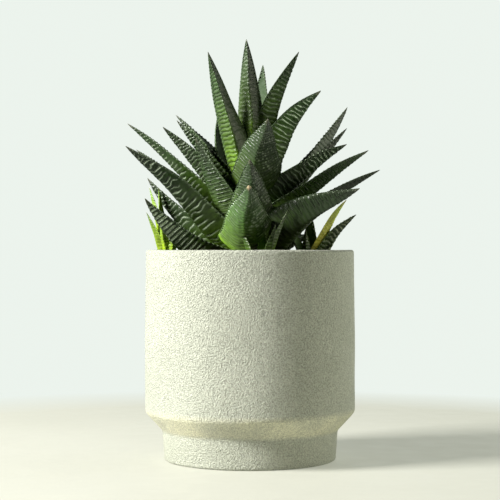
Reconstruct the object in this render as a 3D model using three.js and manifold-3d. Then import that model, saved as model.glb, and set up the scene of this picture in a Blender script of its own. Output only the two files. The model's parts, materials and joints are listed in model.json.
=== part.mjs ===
// A potted aloe-like succulent: a footed ceramic pot, its potting soil, a leafy main stem and three
// young offsets around it.  Millimetres, +Z up, origin at the centre of the pot's underside, front at -Y.
// Every leaf is a keeled, pointed solid that springs from its stem.  A younger leaf keeps its whole
// shape, and an older one clasps it, hollowed by FIT_GAP where the two would meet.

import * as THREE from "three";
import { mergeVertices } from "three/addons/utils/BufferGeometryUtils.js";
import Module from "manifold-3d";

// ---------------------------------------------------------------- driving dimensions

const POT_DIAMETER = 100.4; // at the fullest part of the wall
const POT_HEIGHT = 100;
const POT_WALL = 4.5;
const POT_FLOOR = 7;
const RIM_INSET = 0.5; // the rim stands this much inside the fullest part, per side
const RIM_BEVEL = 0.8;
const CORNER_RADIUS = 4; // where the wall turns into the sloping shoulder
const SHOULDER_HEIGHT = 9; // the slope between the wall and the foot
const FOOT_INSET = 8.2; // from the wall's fullest part in to the top of the foot
const FOOT_HEIGHT = 14;
const FOOT_TAPER = 0.9; // the foot narrows by this much per side on its way down
const FOOT_BEVEL = 0.8;
const POT_SIDES = 48;
const CORNER_STEPS = 4;

const SOIL_BELOW_RIM = 8;
const SOIL_CROWN = 1.5; // the soil rises this much towards the middle
const SOIL_SLOPE_WIDTH = 18; // the sloping ring between the flat crown and the wall
const FIT_GAP = 0.3; // between any two pieces that touch

const MAIN_STEM = { x: -1, y: 0, lean: 3, height: 60, foot: 14, radius: 5, topRadius: 3 };
const LEFT_PUP = { turn: 183, wallGap: 6.5, lean: -1, height: 9, foot: 8, radius: 2.4, topRadius: 1.4 };
const RIGHT_PUP = { turn: -10, wallGap: 17, lean: 0, height: 8, foot: 8, radius: 2.4, topRadius: 1.4 };
const FRONT_PUP = { turn: -79, wallGap: 19, lean: 1, height: 7, foot: 7, radius: 2.2, topRadius: 1.3 };
const STEM_SIDES = 12;
const STEM_STEPS = 4;

const LEAF_SIDES = 8;
const LEAF_STEPS = 6;
const EDGE_GROWTH = 2; // a thin leaf edge needs more than FIT_GAP sideways to clear its neighbour
const DISH = 0.15; // how hollow a leaf's inner face is, as a share of its depth
const ROOTING = 0.5; // a leaf starts this far out from the stem's axis, as a share of the stem's radius
const TIP_GROWTH = 4; // a fine tip needs more than FIT_GAP endways to clear its neighbour

// Leaf schedules, youngest first.  at: height of the leaf's base above the soil line.  turn: compass
// direction it grows in, anticlockwise from +X, in degrees, so -90 comes forwards.  reach and rise:
// how far its tip lies out from the stem's axis and above its base.  bow: how far the middle stands
// above the straight line from base to tip.  width and thick: its broadest section.  roll: turn
// about its own length, in degrees.
const MAIN_LEAVES = [
  { at: 56, turn: 60, reach: 9, rise: 42, bow: 0, width: 14, thick: 6, roll: 0 },
  { at: 54, turn: -110, reach: 10, rise: 54, bow: 0, width: 15, thick: 8, roll: 15 },
  { at: 50, turn: -25, reach: 24, rise: 52, bow: 4, width: 15, thick: 8, roll: -10 },
  { at: 44, turn: 95, reach: 16, rise: 40, bow: 1, width: 13, thick: 6, roll: 0 },
  { at: 38, turn: -140, reach: 27, rise: 63, bow: 0, width: 15, thick: 9, roll: 40 },
  { at: 26, turn: 150, reach: 18, rise: 49, bow: -5, width: 14, thick: 6, roll: 0 },
  { at: 37, turn: -25, reach: 36, rise: 46, bow: 6, width: 21, thick: 10, roll: -25 },
  { at: 37, turn: -81, reach: 46, rise: 30, bow: 0, width: 27, thick: 11, roll: 0 },
  { at: 36, turn: 162, reach: 39, rise: 38, bow: 2, width: 15, thick: 7, roll: 10 },
  { at: 36, turn: 40, reach: 24, rise: 36, bow: 2, width: 14, thick: 6, roll: 0 },
  { at: 33, turn: -172, reach: 36, rise: 37, bow: 1, width: 15, thick: 7, roll: 0 },
  { at: 30, turn: 118, reach: 30, rise: 40, bow: 2, width: 15, thick: 7, roll: 0 },
  { at: 29, turn: -15, reach: 47, rise: 29, bow: 3, width: 18, thick: 9, roll: -20 },
  { at: 26, turn: 25, reach: 53, rise: 53, bow: -1, width: 19, thick: 10, roll: -15 },
  { at: 25, turn: -160, reach: 44, rise: 41, bow: 2, width: 17, thick: 9, roll: 10 },
  { at: 25, turn: 72, reach: 36, rise: 40, bow: 2, width: 16, thick: 7, roll: 0 },
  { at: 22, turn: 5, reach: 47, rise: 45, bow: 1, width: 16, thick: 8, roll: -10 },
  { at: 21, turn: 135, reach: 44, rise: 38, bow: 3, width: 16, thick: 7, roll: 0 },
  { at: 19, turn: -28, reach: 62, rise: 35, bow: 3, width: 19, thick: 9, roll: 0 },
  { at: 17, turn: -140, reach: 33, rise: 43, bow: 1, width: 20, thick: 10, roll: -10 },
  { at: 16, turn: 178, reach: 59, rise: 53, bow: 4, width: 17, thick: 8, roll: 10 },
  { at: 16, turn: 50, reach: 48, rise: 38, bow: 3, width: 17, thick: 8, roll: 0 },
  { at: 19, turn: -90, reach: 40, rise: 30, bow: 0, width: 24, thick: 10, roll: 0 },
  { at: 12, turn: -10, reach: 63, rise: 34, bow: 3, width: 16, thick: 8, roll: -10 },
  { at: 12, turn: 170, reach: 56, rise: 45, bow: 3, width: 16, thick: 7, roll: 10 },
  { at: 12, turn: 100, reach: 46, rise: 38, bow: 3, width: 18, thick: 8, roll: 0 },
  { at: 8, turn: 148, reach: 52, rise: 36, bow: 3, width: 17, thick: 8, roll: 0 },
  { at: 9, turn: -38, reach: 64, rise: 27, bow: 5, width: 26, thick: 14, roll: -15 },
  { at: 3, turn: 28, reach: 38, rise: 13, bow: 3, width: 20, thick: 8, roll: 0 },
  { at: 6, turn: -165, reach: 60, rise: 51, bow: 4, width: 22, thick: 11, roll: 15 },
  { at: 1, turn: 174, reach: 49, rise: 42, bow: -1, width: 19, thick: 10, roll: 20 },
  { at: 3, turn: 75, reach: 50, rise: 32, bow: 3, width: 18, thick: 8, roll: 0 },
  { at: 10, turn: -90, reach: 49, rise: 27, bow: 0, width: 30, thick: 13, roll: 0 },
  { at: 1, turn: 122, reach: 48, rise: 28, bow: 3, width: 18, thick: 8, roll: 0 },
  { at: 1, turn: -150, reach: 55, rise: 31, bow: -5, width: 21, thick: 11, roll: 20 },
];
const LEFT_PUP_LEAVES = [
  { at: 6, turn: 150, reach: 5, rise: 32, bow: 0, width: 7, thick: 3, roll: 0 },
  { at: 5, turn: -170, reach: 9, rise: 33, bow: 1, width: 8, thick: 3, roll: 0 },
  { at: 3, turn: 60, reach: 8, rise: 24, bow: 1, width: 7, thick: 3, roll: 0 },
  { at: 2, turn: -150, reach: 12, rise: 24, bow: 1, width: 8, thick: 3, roll: 0 },
  { at: 1, turn: 112, reach: 12, rise: 20, bow: 1, width: 7, thick: 3, roll: 0 },
  { at: 1, turn: -110, reach: 10, rise: 21, bow: 1, width: 7, thick: 3, roll: 0 },
  { at: 0, turn: -75, reach: 9, rise: 15, bow: 1, width: 6, thick: 3, roll: 0 },
];
const RIGHT_PUP_LEAVES = [
  { at: 4, turn: 60, reach: 2, rise: 22, bow: 0, width: 9, thick: 4, roll: 0 },
  { at: 2, turn: -18, reach: 19, rise: 30, bow: 3, width: 10, thick: 5, roll: 0 },
  { at: 2, turn: 75, reach: 11, rise: 20, bow: 1, width: 8, thick: 4, roll: 0 },
  { at: 1, turn: -5, reach: 23, rise: 24, bow: 3, width: 11, thick: 6, roll: -15 },
  { at: 1, turn: 130, reach: 13, rise: 18, bow: 1, width: 8, thick: 4, roll: 0 },
  { at: 1, turn: -100, reach: 8, rise: 16, bow: 0, width: 6, thick: 3, roll: 0 },
  { at: 0, turn: -40, reach: 15, rise: 12, bow: 1, width: 6, thick: 3, roll: 0 },
];
const FRONT_PUP_LEAVES = [
  { at: 4, turn: 80, reach: 5, rise: 16, bow: 0, width: 6, thick: 3, roll: 0 },
  { at: 2, turn: -35, reach: 8, rise: 18, bow: 0, width: 7, thick: 3, roll: 0 },
  { at: 1, turn: -10, reach: 13, rise: 26, bow: 1, width: 8, thick: 3, roll: 0 },
  { at: 1, turn: -170, reach: 10, rise: 18, bow: 0, width: 8, thick: 3, roll: 0 },
];

// ---------------------------------------------------------------- materials

const finish = (color, roughness, metalness = 0) => ({ color, roughness, metalness });
const GLAZE = finish(0xd6d8c4, 0.75);
const SOIL = finish(0x3a2c20, 0.95);
const STEM = finish(0x8a7a4a, 0.8);
const GREEN = finish(0x4c7a34, 0.5);
const YOUNG_GREEN = finish(0x8fb03a, 0.5);

// ---------------------------------------------------------------- solids

const wasm = await Module();
wasm.setup();

// A closed three.js geometry as a solid that can be joined and cut.
function solidOf(geometry) {
  const bare = geometry.index ? geometry.toNonIndexed() : geometry.clone();
  for (const name of Object.keys(bare.attributes)) {
    if (name !== "position") bare.deleteAttribute(name);
  }
  const merged = mergeVertices(bare, 1e-4);
  const vertProperties = new Float32Array(merged.attributes.position.array);
  const triVerts = new Uint32Array(merged.index.array);
  return new wasm.Manifold(new wasm.Mesh({ numProp: 3, vertProperties, triVerts }));
}

// The geometry of a solid.
function geometryOf(solid) {
  const mesh = solid.getMesh();
  const geometry = new THREE.BufferGeometry();
  geometry.setAttribute("position", new THREE.BufferAttribute(new Float32Array(mesh.vertProperties), 3));
  geometry.setIndex(new THREE.BufferAttribute(new Uint32Array(mesh.triVerts), 1));
  geometry.computeVertexNormals();
  return geometry;
}

// The largest body of a solid: a cut can leave crumbs beside it.
function mainBody(solid) {
  const bodies = solid.decompose();
  return bodies.reduce((best, body) => (body.volume() > best.volume() ? body : best));
}

function boxesMeet(a, b) {
  const first = a.boundingBox();
  const second = b.boundingBox();
  return [0, 1, 2].every((k) => first.min[k] < second.max[k] && second.min[k] < first.max[k]);
}

// A solid less every cutter that it meets.
function cutBy(solid, cutters) {
  const meeting = cutters.filter((cutter) => boxesMeet(solid, cutter));
  return meeting.reduce((rest, cutter) => rest.subtract(cutter), solid);
}

// ---------------------------------------------------------------- pot and soil

const bodyRadius = POT_DIAMETER / 2;
const rimRadius = bodyRadius - RIM_INSET;
const footRadius = bodyRadius - FOOT_INSET;
const shoulderTop = FOOT_HEIGHT + SHOULDER_HEIGHT;
const innerRadius = rimRadius - POT_WALL;
const soilTop = POT_HEIGHT - SOIL_BELOW_RIM;

// The corner between the shoulder and the wall, as an arc that is tangent to both.
function shoulderCorner() {
  const slope = Math.atan2(SHOULDER_HEIGHT, FOOT_INSET);
  const setback = CORNER_RADIUS * Math.tan((Math.PI / 2 - slope) / 2);
  const centre = new THREE.Vector2(bodyRadius - CORNER_RADIUS, shoulderTop + setback);
  const points = [];
  for (let i = 0; i <= CORNER_STEPS; i += 1) {
    const angle = (slope - Math.PI / 2) * (1 - i / CORNER_STEPS);
    const spoke = new THREE.Vector2(Math.cos(angle), Math.sin(angle));
    points.push(centre.clone().addScaledVector(spoke, CORNER_RADIUS));
  }
  return points;
}

function potGeometry() {
  const lip = RIM_BEVEL;
  const floorRadius = footRadius - POT_WALL;
  const profile = [
    new THREE.Vector2(0, 0),
    new THREE.Vector2(footRadius - FOOT_TAPER - FOOT_BEVEL, 0),
    new THREE.Vector2(footRadius - FOOT_TAPER, FOOT_BEVEL),
    new THREE.Vector2(footRadius, FOOT_HEIGHT),
    ...shoulderCorner(),
    new THREE.Vector2(bodyRadius, (shoulderTop + POT_HEIGHT) / 2),
    new THREE.Vector2(rimRadius, POT_HEIGHT - lip),
    new THREE.Vector2(rimRadius - lip, POT_HEIGHT),
    new THREE.Vector2(innerRadius + lip, POT_HEIGHT),
    new THREE.Vector2(innerRadius, POT_HEIGHT - lip),
    new THREE.Vector2(innerRadius, shoulderTop + POT_WALL),
    new THREE.Vector2(floorRadius, FOOT_HEIGHT),
    new THREE.Vector2(floorRadius, POT_FLOOR),
    new THREE.Vector2(0, POT_FLOOR),
  ];
  return new THREE.LatheGeometry(profile, POT_SIDES).rotateX(Math.PI / 2);
}

// The upper wall swelled by FIT_GAP, for cutting room where a leaf lies against the rim.
function wallRoomGeometry() {
  const inside = innerRadius - FIT_GAP;
  const outside = bodyRadius + FIT_GAP;
  const profile = [
    new THREE.Vector2(inside, shoulderTop),
    new THREE.Vector2(outside, shoulderTop),
    new THREE.Vector2(outside, POT_HEIGHT + FIT_GAP),
    new THREE.Vector2(inside, POT_HEIGHT + FIT_GAP),
    new THREE.Vector2(inside, shoulderTop),
  ];
  return new THREE.LatheGeometry(profile, POT_SIDES).rotateX(Math.PI / 2);
}

// Soil fills the pot from its floor up, FIT_GAP clear of the walls, with a low crown in the middle.
function soilGeometry() {
  const outer = innerRadius - FIT_GAP;
  const lower = footRadius - POT_WALL - FIT_GAP;
  const profile = [
    new THREE.Vector2(0, POT_FLOOR + FIT_GAP),
    new THREE.Vector2(lower, POT_FLOOR + FIT_GAP),
    new THREE.Vector2(lower, FOOT_HEIGHT),
    new THREE.Vector2(outer, shoulderTop + POT_WALL),
    new THREE.Vector2(outer, soilTop - SOIL_CROWN),
    new THREE.Vector2(outer - SOIL_SLOPE_WIDTH, soilTop),
    new THREE.Vector2(0, soilTop),
  ];
  return new THREE.LatheGeometry(profile, POT_SIDES).rotateX(Math.PI / 2);
}

// ---------------------------------------------------------------- stems

// Where a stem stands on the soil: given outright, or measured in from the pot's wall.
function stemFoot(stem) {
  if (stem.wallGap === undefined) return new THREE.Vector3(stem.x, stem.y, soilTop);
  const turn = THREE.MathUtils.degToRad(stem.turn);
  const out = innerRadius - stem.wallGap;
  return new THREE.Vector3(out * Math.cos(turn), out * Math.sin(turn), soilTop);
}

// The stem's axis at a height above the soil: it leans sideways along X as it climbs.
function stemAxis(stem, height) {
  const drift = stem.lean * Math.max(height, 0) / stem.height;
  return stemFoot(stem).add(new THREE.Vector3(drift, 0, height));
}

function stemRadius(stem, height) {
  return THREE.MathUtils.lerp(stem.radius, stem.topRadius, Math.min(Math.max(height / stem.height, 0), 1));
}

function stemGeometry(stem, growth) {
  const length = stem.height + stem.foot;
  const geometry = new THREE.CylinderGeometry(1, 1, 1, STEM_SIDES, STEM_STEPS).rotateX(Math.PI / 2);
  const position = geometry.attributes.position;
  const point = new THREE.Vector3();
  for (let i = 0; i < position.count; i += 1) {
    point.fromBufferAttribute(position, i);
    const end = 2 * point.z * growth;
    const height = (point.z + 0.5) * length - stem.foot;
    const radius = stemRadius(stem, height) + growth;
    const axis = stemAxis(stem, height);
    position.setXYZ(i, axis.x + point.x * radius, axis.y + point.y * radius, axis.z + end);
  }
  return geometry;
}

// ---------------------------------------------------------------- leaves

// A leaf's breadth and depth along its length, u = 0 at the base to 1 at the tip, as shares of the
// largest: a taper to the tip, filled out in the middle, times a waist that swells out from the base.
function leafBreadth(u) {
  const waist = 0.75 + 0.25 * Math.min(u / 0.15, 1);
  return (1 - u) ** 0.9 * (1 + 0.6 * u) * waist;
}
function leafDepth(u) {
  const waist = 0.5 + 0.5 * Math.min(u / 0.25, 1);
  return (1 - u) ** 0.8 * (1 + 0.5 * u) * waist;
}

// The line midway between the leaf's edges: a quadratic curve from inside the stem to the tip.
function leafSpine(stem, leaf) {
  const turn = THREE.MathUtils.degToRad(leaf.turn);
  const out = new THREE.Vector3(Math.cos(turn), Math.sin(turn), 0);
  const axis = stemAxis(stem, leaf.at);
  const base = axis.clone().addScaledVector(out, stemRadius(stem, leaf.at) * ROOTING);
  const tip = axis.clone().addScaledVector(out, leaf.reach).add(new THREE.Vector3(0, 0, leaf.rise));
  const chord = tip.clone().sub(base).normalize();
  const side = new THREE.Vector3().crossVectors(out, new THREE.Vector3(0, 0, 1)).normalize();
  const up = new THREE.Vector3().crossVectors(side, chord).normalize();
  const middle = base.clone().lerp(tip, 0.5).addScaledVector(up, leaf.bow * 2);
  side.applyAxisAngle(chord, THREE.MathUtils.degToRad(leaf.roll));
  return { curve: new THREE.QuadraticBezierCurve3(base, middle, tip), side };
}

// A cone whose rings are laid along the spine.  Each ring is dished inside and keeled outside.
// growth swells the whole leaf, for cutting room around it.
function leafGeometry(stem, leaf, growth) {
  const { curve, side } = leafSpine(stem, leaf);
  const geometry = new THREE.ConeGeometry(1, 1, LEAF_SIDES, LEAF_STEPS);
  const position = geometry.attributes.position;
  for (let i = 0; i < position.count; i += 1) {
    const x = position.getX(i);
    const z = position.getZ(i);
    const onSkin = Math.hypot(x, z) > 1e-6;
    const angle = Math.atan2(z, x);
    const u = THREE.MathUtils.clamp(position.getY(i) + 0.5, 0, 1);
    const along = curve.getTangent(u);
    const inward = new THREE.Vector3().crossVectors(side, along).normalize();
    const half = onSkin ? leaf.width / 2 * leafBreadth(u) + growth * EDGE_GROWTH : 0;
    const depth = leaf.thick * leafDepth(u);
    const swell = Math.sin(angle) ** 2;
    const inner = growth - DISH * depth * swell;
    const outer = growth * (1 - 2 * Math.sqrt(swell)) - depth * swell;
    const skin = Math.sin(angle) > 0 ? inner : outer;
    const level = onSkin ? skin : -depth / 2;
    const stretch = (2 * u - 1) * growth * (u > 0.5 ? TIP_GROWTH : 1);
    const place = curve.getPoint(u).addScaledVector(side, half * Math.cos(angle));
    place.addScaledVector(inward, level).addScaledVector(along, stretch);
    position.setXYZ(i, place.x, place.y, place.z);
  }
  return geometry;
}

// ---------------------------------------------------------------- assembly

const plant = new THREE.Group();

function add(name, geometry, look) {
  const mesh = new THREE.Mesh(geometry, new THREE.MeshStandardMaterial(look));
  mesh.name = name;
  plant.add(mesh);
}

const shoots = [
  { name: "main", stem: MAIN_STEM, leaves: MAIN_LEAVES, look: GREEN },
  { name: "left_pup", stem: LEFT_PUP, leaves: LEFT_PUP_LEAVES, look: YOUNG_GREEN },
  { name: "right_pup", stem: RIGHT_PUP, leaves: RIGHT_PUP_LEAVES, look: YOUNG_GREEN },
  { name: "front_pup", stem: FRONT_PUP, leaves: FRONT_PUP_LEAVES, look: YOUNG_GREEN },
];

add("pot", potGeometry(), GLAZE);

const inTheSoil = [];
for (const { name, stem } of shoots) {
  add(`${name}_stem`, stemGeometry(stem, 0), STEM);
  inTheSoil.push(solidOf(stemGeometry(stem, FIT_GAP)));
}
const wallRoom = solidOf(wallRoomGeometry());
const placed = [...inTheSoil];
for (const { name, stem, leaves, look } of shoots) {
  leaves.forEach((leaf, index) => {
    const number = String(index + 1).padStart(2, "0");
    const whole = solidOf(leafGeometry(stem, leaf, 0));
    const fitted = mainBody(cutBy(whole, [...placed, wallRoom]));
    add(`${name}_leaf_${number}`, geometryOf(fitted), look);
    placed.push(solidOf(leafGeometry(stem, leaf, FIT_GAP)));
  });
}
add("potting_soil", geometryOf(mainBody(cutBy(solidOf(soilGeometry()), placed))), SOIL);

export default plant;
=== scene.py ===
"""A potted aloe-like succulent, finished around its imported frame.

Metres, +Z up, front at -Y.  Every leaf, stem, the soil and the pot is a surface worked out as a
function of two parameters: u along it and v around it.  Lengths in the tables are millimetres.
"""
import json
import math

import bpy
import numpy as np
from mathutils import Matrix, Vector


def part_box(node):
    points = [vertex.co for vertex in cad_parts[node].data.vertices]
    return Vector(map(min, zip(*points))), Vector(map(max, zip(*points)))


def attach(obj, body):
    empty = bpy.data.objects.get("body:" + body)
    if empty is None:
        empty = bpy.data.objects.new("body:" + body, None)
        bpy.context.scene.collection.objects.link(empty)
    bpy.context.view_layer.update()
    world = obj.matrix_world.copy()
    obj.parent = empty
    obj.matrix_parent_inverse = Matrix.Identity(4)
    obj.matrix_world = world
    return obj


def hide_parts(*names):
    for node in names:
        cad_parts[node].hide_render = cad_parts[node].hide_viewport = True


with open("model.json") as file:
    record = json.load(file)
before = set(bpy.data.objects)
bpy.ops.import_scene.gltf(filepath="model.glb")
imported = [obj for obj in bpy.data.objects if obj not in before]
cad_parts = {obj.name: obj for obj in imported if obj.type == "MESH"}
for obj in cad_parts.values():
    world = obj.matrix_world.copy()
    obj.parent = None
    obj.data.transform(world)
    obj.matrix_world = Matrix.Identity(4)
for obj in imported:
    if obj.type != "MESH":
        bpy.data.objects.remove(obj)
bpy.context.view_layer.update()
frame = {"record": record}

MM = 0.001

# ------------------------------------------------------------------ sizes, in millimetres

POT_RADIUS = 50.2
POT_HEIGHT = 100.0
RIM_INSET = 0.5  # how far the rim leans in
LEAN_FROM = 60.0  # the height where it starts to
RIM_EDGE = 1.1
FOOT_EDGE = 1.0
POLE_RADIUS = 0.4  # the innermost ring of the underside and of the floor
POT_WALL = 4.5
POT_FLOOR = 7.0
FOOT_RADIUS = 42.0
FOOT_HEIGHT = 14.0
FOOT_TAPER = 0.9
SHOULDER_TOP = 23.0
CORNER_RADIUS = 4.0
SOIL_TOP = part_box("potting_soil")[1][2] / MM
SOIL_GAP = 0.3
INNER_RADIUS = POT_RADIUS - RIM_INSET - POT_WALL

# Stems: where each stands, how far it leans along X by its top, and how thick it is.
STEMS = {
    "main": dict(x=-1.0, y=0.0, lean=3.0, height=60.0, foot=14.0, radius=5.0, top=3.0),
    "left_pup": dict(turn=183, wall_gap=6.5, lean=-1.0, height=9.0, foot=8.0, radius=2.4, top=1.4),
    "right_pup": dict(turn=-10, wall_gap=17.0, lean=0.0, height=8.0, foot=8.0, radius=2.4, top=1.4),
    "front_pup": dict(turn=-79, wall_gap=19.0, lean=1.0, height=7.0, foot=7.0, radius=2.2, top=1.3),
}
ROOTING = 0.5  # a leaf starts this share of the stem's radius out from its axis

# How one flank of a leaf's outer face is marked.  pitch: from one cross ridge to the next.  crest: a
# ridge's half-breadth as a share of the pitch.  high: its height.  pad: how far the flesh between two
# ridges swells.  white: how pale a ridge is.  wave: how much it wanders, in pitches.  start and end:
# the stretch of a flank it covers, keel 0 to margin 1.  broken: how much it breaks into dashes.
# beads: from one bead of a ridge to the next.  beaded: how far it parts into them.  tooth: the
# height of the margin's teeth.  pad_sheen: how pale a pad is painted, standing in for the sheen of a
# lit flank.  painted_flank_shade: how much darker the flesh is painted, as shade on a flank turned
# away from the key lamp.
MARK_FIELDS = (
    "pitch", "crest", "high", "pad", "white", "wave", "start", "end",
    "broken", "beads", "beaded", "tooth", "pad_sheen", "painted_flank_shade",
)
MARKS = {
    "ledged": (2.1, 0.17, 0.36, 0.38, 0.12, 0.45, 0.00, 1.00, 0.4, 1.8, 0.2, 0.90, 0.05, 0.00),
    "frosted": (2.2, 0.20, 0.36, 0.18, 0.16, 0.60, 0.10, 1.00, 0.8, 1.7, 0.9, 0.90, 0.10, 0.00),
    "grooved": (2.0, 0.20, -0.60, 0.26, 0.00, 0.40, 0.22, 1.00, 0.3, 1.5, 0.4, 0.55, 0.08, 0.00),
    "belly": (1.9, 0.20, -0.60, 0.30, 0.00, 0.60, 0.30, 1.00, 0.3, 1.3, 0.3, 0.50, 0.10, 0.00),
    "beaded": (1.9, 0.24, 0.44, 0.06, 0.50, 0.60, 0.00, 1.00, 0.7, 1.2, 1.0, 0.65, 0.0, 0.50),
    "banded": (2.6, 0.11, 0.46, 0.16, 0.75, 0.60, 0.00, 1.00, 0.3, 2.0, 0.1, 0.80, 0.0, 0.10),
    "ribbed": (2.4, 0.15, 0.34, 0.12, 0.28, 0.60, 0.00, 1.00, 0.5, 1.6, 0.4, 0.90, 0.02, 0.15),
    "notched": (2.8, 0.10, -0.50, 0.24, 0.00, 0.40, 0.50, 1.00, 0.1, 2.0, 0.0, 0.55, 0.02, 0.00),
    "striped": (2.4, 0.19, 0.46, 0.06, 1.50, 0.15, 0.06, 0.85, 0.1, 2.0, 0.0, 0.70, 0.0, 0.00),
    "wavy": (3.0, 0.10, 0.34, 0.06, 0.72, 0.90, 0.05, 0.75, 0.4, 2.2, 0.2, 0.70, 0.0, 0.10),
    "dashed": (2.6, 0.12, 0.38, 0.04, 0.85, 0.40, 0.12, 0.60, 0.5, 2.0, 0.3, 0.70, 0.0, 0.00),
    "netted": (2.2, 0.17, 0.36, 0.12, 0.42, 0.90, 0.00, 1.00, 0.3, 1.8, 0.4, 0.60, 0.02, 0.10),
    "plain": (2.4, 0.18, 0.08, 0.03, 0.08, 0.30, 0.20, 1.00, 0.6, 1.4, 0.6, 0.50, 0.0, 0.35),
    "young": (1.7, 0.22, 0.14, 0.08, 0.20, 0.30, 0.30, 1.00, 0.6, 1.2, 0.6, 0.25, 0.0, 0.00),
}

# Leaves, youngest first.  at: height of the base above the soil.  turn: the way it grows, in
# degrees anticlockwise from +X.  reach, rise: how far the tip lies out from the stem's axis and above
# the base.  bow: how far the middle stands above a straight line.  width, thick: the broadest
# section.  roll: turn about its own length.  marks: the MARKS of its flanks on either side of the
# keel.  tone_and_painted_light: lighter or darker, partly the leaf's own colour and partly painted
# light and shade, set leaf by leaf for how brightly each is lit.
LEAF_FIELDS = ("at", "turn", "reach", "rise", "bow", "width", "thick", "roll", "marks", "tone_and_painted_light")
LEAVES = {
    "main": [
        (56, 60, 9, 42, 0, 14, 6, 0, "beaded beaded", 1.0),
        (54, -110, 10, 54, 0, 15, 8, 15, "frosted beaded", 0.9),
        (50, -25, 24, 52, 4, 15, 8, -10, "ribbed beaded", 0.8),
        (44, 95, 16, 40, 1, 13, 6, 0, "plain banded", 1.0),
        (38, -140, 27, 63, 0, 15, 9, 40, "ledged plain", 1.15),
        (26, 150, 18, 49, -5, 14, 6, 0, "grooved grooved", 1.3),
        (37, -25, 36, 46, 6, 21, 10, -25, "banded banded", 1.0),
        (37, -81, 46, 30, 0, 27, 11, 0, "grooved beaded", 0.8),
        (36, 162, 39, 38, 2, 15, 7, 10, "netted netted", 0.9),
        (36, 40, 24, 36, 2, 14, 6, 0, "banded banded", 0.9),
        (33, -172, 36, 37, 1, 15, 7, 0, "netted netted", 0.9),
        (30, 118, 30, 40, 2, 15, 7, 0, "beaded beaded", 1.0),
        (29, -15, 47, 29, 3, 18, 9, -20, "banded banded", 0.5),
        (26, 25, 53, 53, -1, 19, 10, -15, "ribbed plain", 0.9),
        (25, -160, 44, 41, 2, 17, 9, 10, "netted netted", 0.9),
        (25, 72, 36, 40, 2, 16, 7, 0, "banded banded", 1.0),
        (22, 5, 47, 45, 1, 16, 8, -10, "plain plain", 0.8),
        (21, 135, 44, 38, 3, 16, 7, 0, "dashed dashed", 0.9),
        (19, -28, 62, 35, 3, 19, 9, 0, "notched plain", 0.9),
        (17, -140, 33, 43, 1, 20, 10, -10, "belly grooved", 0.95),
        (16, 178, 59, 53, 4, 17, 8, 10, "plain dashed", 0.8),
        (16, 50, 48, 38, 3, 17, 8, 0, "wavy wavy", 0.9),
        (19, -90, 40, 30, 0, 24, 10, 0, "grooved beaded", 1.1),
        (12, -10, 63, 34, 3, 16, 8, -10, "plain plain", 0.7),
        (12, 170, 56, 45, 3, 16, 7, 10, "grooved grooved", 0.9),
        (12, 100, 46, 38, 3, 18, 8, 0, "banded banded", 0.9),
        (8, 148, 52, 36, 3, 17, 8, 0, "wavy wavy", 0.9),
        (9, -38, 64, 27, 5, 26, 14, -15, "notched ribbed", 0.42),
        (3, 28, 38, 13, 3, 20, 8, 0, "banded banded", 0.45),
        (6, -165, 60, 51, 4, 22, 11, 15, "wavy wavy", 0.45),
        (1, 174, 49, 42, -1, 19, 10, 20, "netted wavy", 0.7),
        (3, 75, 50, 32, 3, 18, 8, 0, "banded banded", 0.8),
        (10, -90, 49, 27, 0, 30, 13, 0, "belly beaded", 2.2),
        (1, 122, 48, 28, 3, 18, 8, 0, "dashed dashed", 0.8),
        (1, -150, 55, 31, -5, 21, 11, 20, "striped striped", 0.6),
    ],
    "left_pup": [
        (6, 150, 5, 32, 0, 7, 3, 0, "young young", 1.1),
        (5, -170, 9, 33, 1, 8, 3, 0, "young young", 1.0),
        (3, 60, 8, 24, 1, 7, 3, 0, "young young", 1.0),
        (2, -150, 12, 24, 1, 8, 3, 0, "young young", 0.7),
        (1, 112, 12, 20, 1, 7, 3, 0, "young young", 0.9),
        (1, -110, 10, 21, 1, 7, 3, 0, "young young", 1.1),
        (0, -75, 9, 15, 1, 6, 3, 0, "young young", 1.0),
    ],
    "right_pup": [
        (4, 60, 2, 22, 0, 9, 4, 0, "ribbed ribbed", 0.7),
        (2, -18, 19, 30, 3, 10, 5, 0, "young young", 1.5),
        (2, 75, 11, 20, 1, 8, 4, 0, "young young", 0.6),
        (1, -5, 23, 24, 3, 11, 6, -15, "banded banded", 0.45),
        (1, 130, 13, 18, 1, 8, 4, 0, "young young", 0.6),
        (1, -100, 8, 16, 0, 6, 3, 0, "young young", 0.6),
        (0, -40, 15, 12, 1, 6, 3, 0, "young young", 0.5),
    ],
    "front_pup": [
        (4, 80, 5, 16, 0, 6, 3, 0, "young young", 0.6),
        (2, -35, 8, 18, 0, 7, 3, 0, "young young", 0.6),
        (1, -10, 13, 26, 1, 8, 3, 0, "young young", 0.65),
        (1, -170, 10, 18, 0, 8, 3, 0, "young young", 0.65),
    ],
}

# Where a keel doesn't run down the middle: its place across the leaf, from -1 to 1.
KEELS = {
    "main_leaf_02": -0.15, "main_leaf_05": -0.25, "main_leaf_07": -0.30, "main_leaf_08": 0.22,
    "main_leaf_20": 0.20, "main_leaf_23": -0.05, "main_leaf_33": 0.05,
}
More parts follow.
